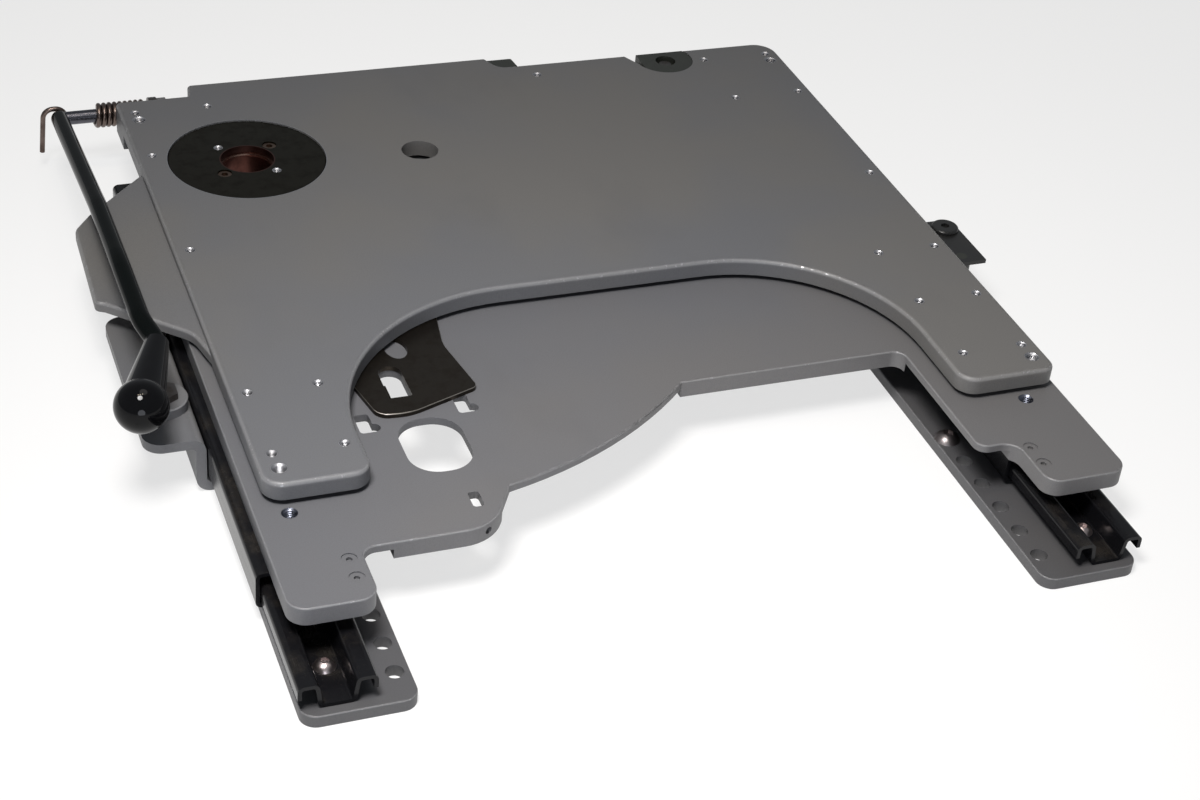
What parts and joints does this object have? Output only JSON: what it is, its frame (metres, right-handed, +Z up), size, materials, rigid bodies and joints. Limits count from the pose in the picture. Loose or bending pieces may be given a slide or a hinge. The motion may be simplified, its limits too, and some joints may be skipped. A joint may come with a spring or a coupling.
{
  "type": "swivel seat base",
  "caption": "Sliding and swivelling base for a vehicle seat: two floor rails, a carriage plate, an off-centre pivot, a U shaped seat plate and a side release lever.",
  "frame": {"origin": "centre of the rectangle of floor holes, on the underside of the two floor plates", "axes": "+X to the right seen from the front, +Y to the rear along the slide, +Z up along the pivot"},
  "size_m": [0.6353, 0.6396, 0.0918],
  "materials": {
    "plate_grey": "satin fine texture coat",
    "rail_black": "gloss black coat",
    "bracket_black": "satin black coat",
    "lever_black": "gloss black coat",
    "grip_black": "gloss moulding",
    "nylon": "black nylon",
    "bright_steel": "turned or plated",
    "bolt_steel": "plain steel",
    "dark_steel": "oiled dark steel",
    "bronzed_steel": "bronzed steel",
    "sleeve_brown": "oiled bronze",
    "spring_brown": "bare spring wire"
  },
  "bodies": {
    "floor_frame": {"floor_plate_left": "plate_grey", "floor_plate_right": "plate_grey", "floor_plate_bolts": "bolt_steel", "lower_rail_left": "rail_black", "lower_rail_right": "rail_black", "rail_bolts": "bright_steel", "anchor_bracket": "plate_grey", "anchor_spacer": "plate_grey", "anchor_bolt": "dark_steel", "anchor_nut": "dark_steel"},
    "carriage": {"upper_rail_left": "rail_black", "upper_rail_right": "rail_black", "rollers_left": "bright_steel", "rollers_right": "bright_steel", "roller_cage_left": "nylon", "roller_cage_right": "nylon", "carriage_plate": "plate_grey", "rail_screws": "bright_steel", "striker_plate": "bronzed_steel", "striker_screws": "dark_steel", "buckle_bracket": "bracket_black", "buckle_side_screws": "bracket_black", "buckle_screw": "bracket_black", "buckle_nut": "bracket_black", "bracket_stud": "nylon", "pivot_hub": "bronzed_steel", "hub_sleeve": "sleeve_brown", "hub_circlip": "dark_steel", "pivot_flange": "bronzed_steel", "flange_screws": "bolt_steel", "thrust_ring": "bright_steel", "thrust_washer": "nylon", "glide_pads": "nylon"},
    "turntable": {"top_plate": "plate_grey", "rear_puck": "nylon", "puck_screw": "dark_steel", "stop_block": "nylon", "lever_hanger": "plate_grey", "hanger_screws": "dark_steel", "torsion_spring": "spring_brown"},
    "release_lever": {"cross_shaft": "bright_steel", "lever_arm": "lever_black", "lever_grip": "grip_black", "shaft_crank": "dark_steel"}
  },
  "joints": [
    {"name": "carriage_slide", "type": "slide", "parent": "floor_frame", "child": "carriage", "axis": [0, 1, 0], "range_m": [-0.08, 0.06]},
    {"name": "swivel", "type": "hinge", "parent": "carriage", "child": "turntable", "pos_m": [-0.1801, 0.2345, 0.05], "axis": [0, 0, 1], "range_deg": [-90, 0]},
    {"name": "lever_lift", "type": "hinge", "parent": "turntable", "child": "release_lever", "pos_m": [-0.295, 0.35, 0.046], "axis": [-1, 0, 0], "range_deg": [0, 20], "stiffness_Nm_per_rad": 2, "springref_deg": -51.57}
  ]
}
